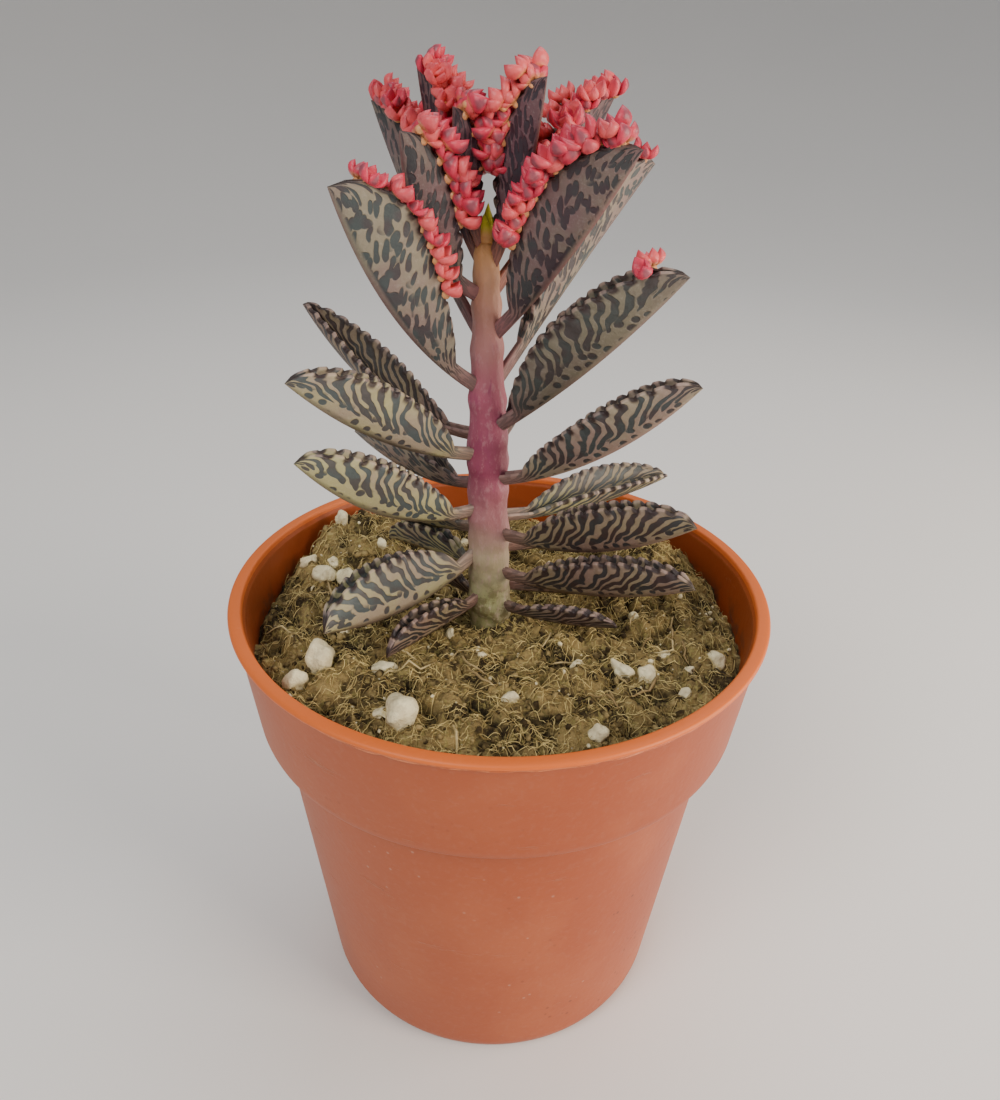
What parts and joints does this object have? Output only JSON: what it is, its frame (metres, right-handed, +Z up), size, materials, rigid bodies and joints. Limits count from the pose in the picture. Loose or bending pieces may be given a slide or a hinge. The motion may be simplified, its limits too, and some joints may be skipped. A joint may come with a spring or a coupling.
{
  "type": "potted mother of thousands",
  "caption": "Upright succulent with folded, striped, toothed leaves and pink plantlets along the upper margins, in peaty soil in a tapered plastic nursery pot.",
  "frame": {"origin": "middle of the pot's foot, on the surface that it stands on", "axes": "+Z up the stem, -Y to the front as the picture shows it, +X to its right"},
  "size_m": [0.105, 0.105, 0.1887],
  "materials": {
    "pot": "satin moulded plastic in a terracotta colour",
    "soil": "matte fibrous peat with white perlite",
    "stem": "smooth, green at the foot, magenta and then tan above",
    "leaf": "waxy bloom over cream and grey-green stripes",
    "plantlet": "waxy coral pink, on the upper leaves' margins",
    "perlite": "matte white crumbs in the top of the soil"
  },
  "bodies": {
    "root": {"pot": "pot", "soil": "soil", "stem": "stem", "leaf_01_front_right": "leaf", "leaf_01_back_left": "leaf", "leaf_02_front_left": "leaf", "leaf_02_back_right": "leaf", "leaf_03_front_right": "leaf", "leaf_03_back_left": "leaf", "leaf_04_front_left": "leaf", "leaf_04_back_right": "leaf", "leaf_05_front_right": "leaf", "leaf_05_back_left": "leaf", "leaf_06_front_left": "leaf", "leaf_06_back_right": "leaf", "leaf_07_front_right": "leaf", "leaf_07_back_left": "leaf", "leaf_08_front_left": "leaf", "leaf_08_back_right": "leaf", "leaf_09_front_right": "leaf", "leaf_09_back_left": "leaf", "leaf_10_front_left": "leaf", "leaf_10_back_right": "leaf", "leaf_11_front_right": "leaf", "leaf_11_back_left": "leaf", "leaf_12_front_left": "leaf", "leaf_12_back_right": "leaf", "leaf_13_front_right": "leaf", "leaf_13_back_left": "leaf", "leaf_14_front_left": "leaf", "leaf_14_back_right": "leaf"}
  },
  "joints": []
}
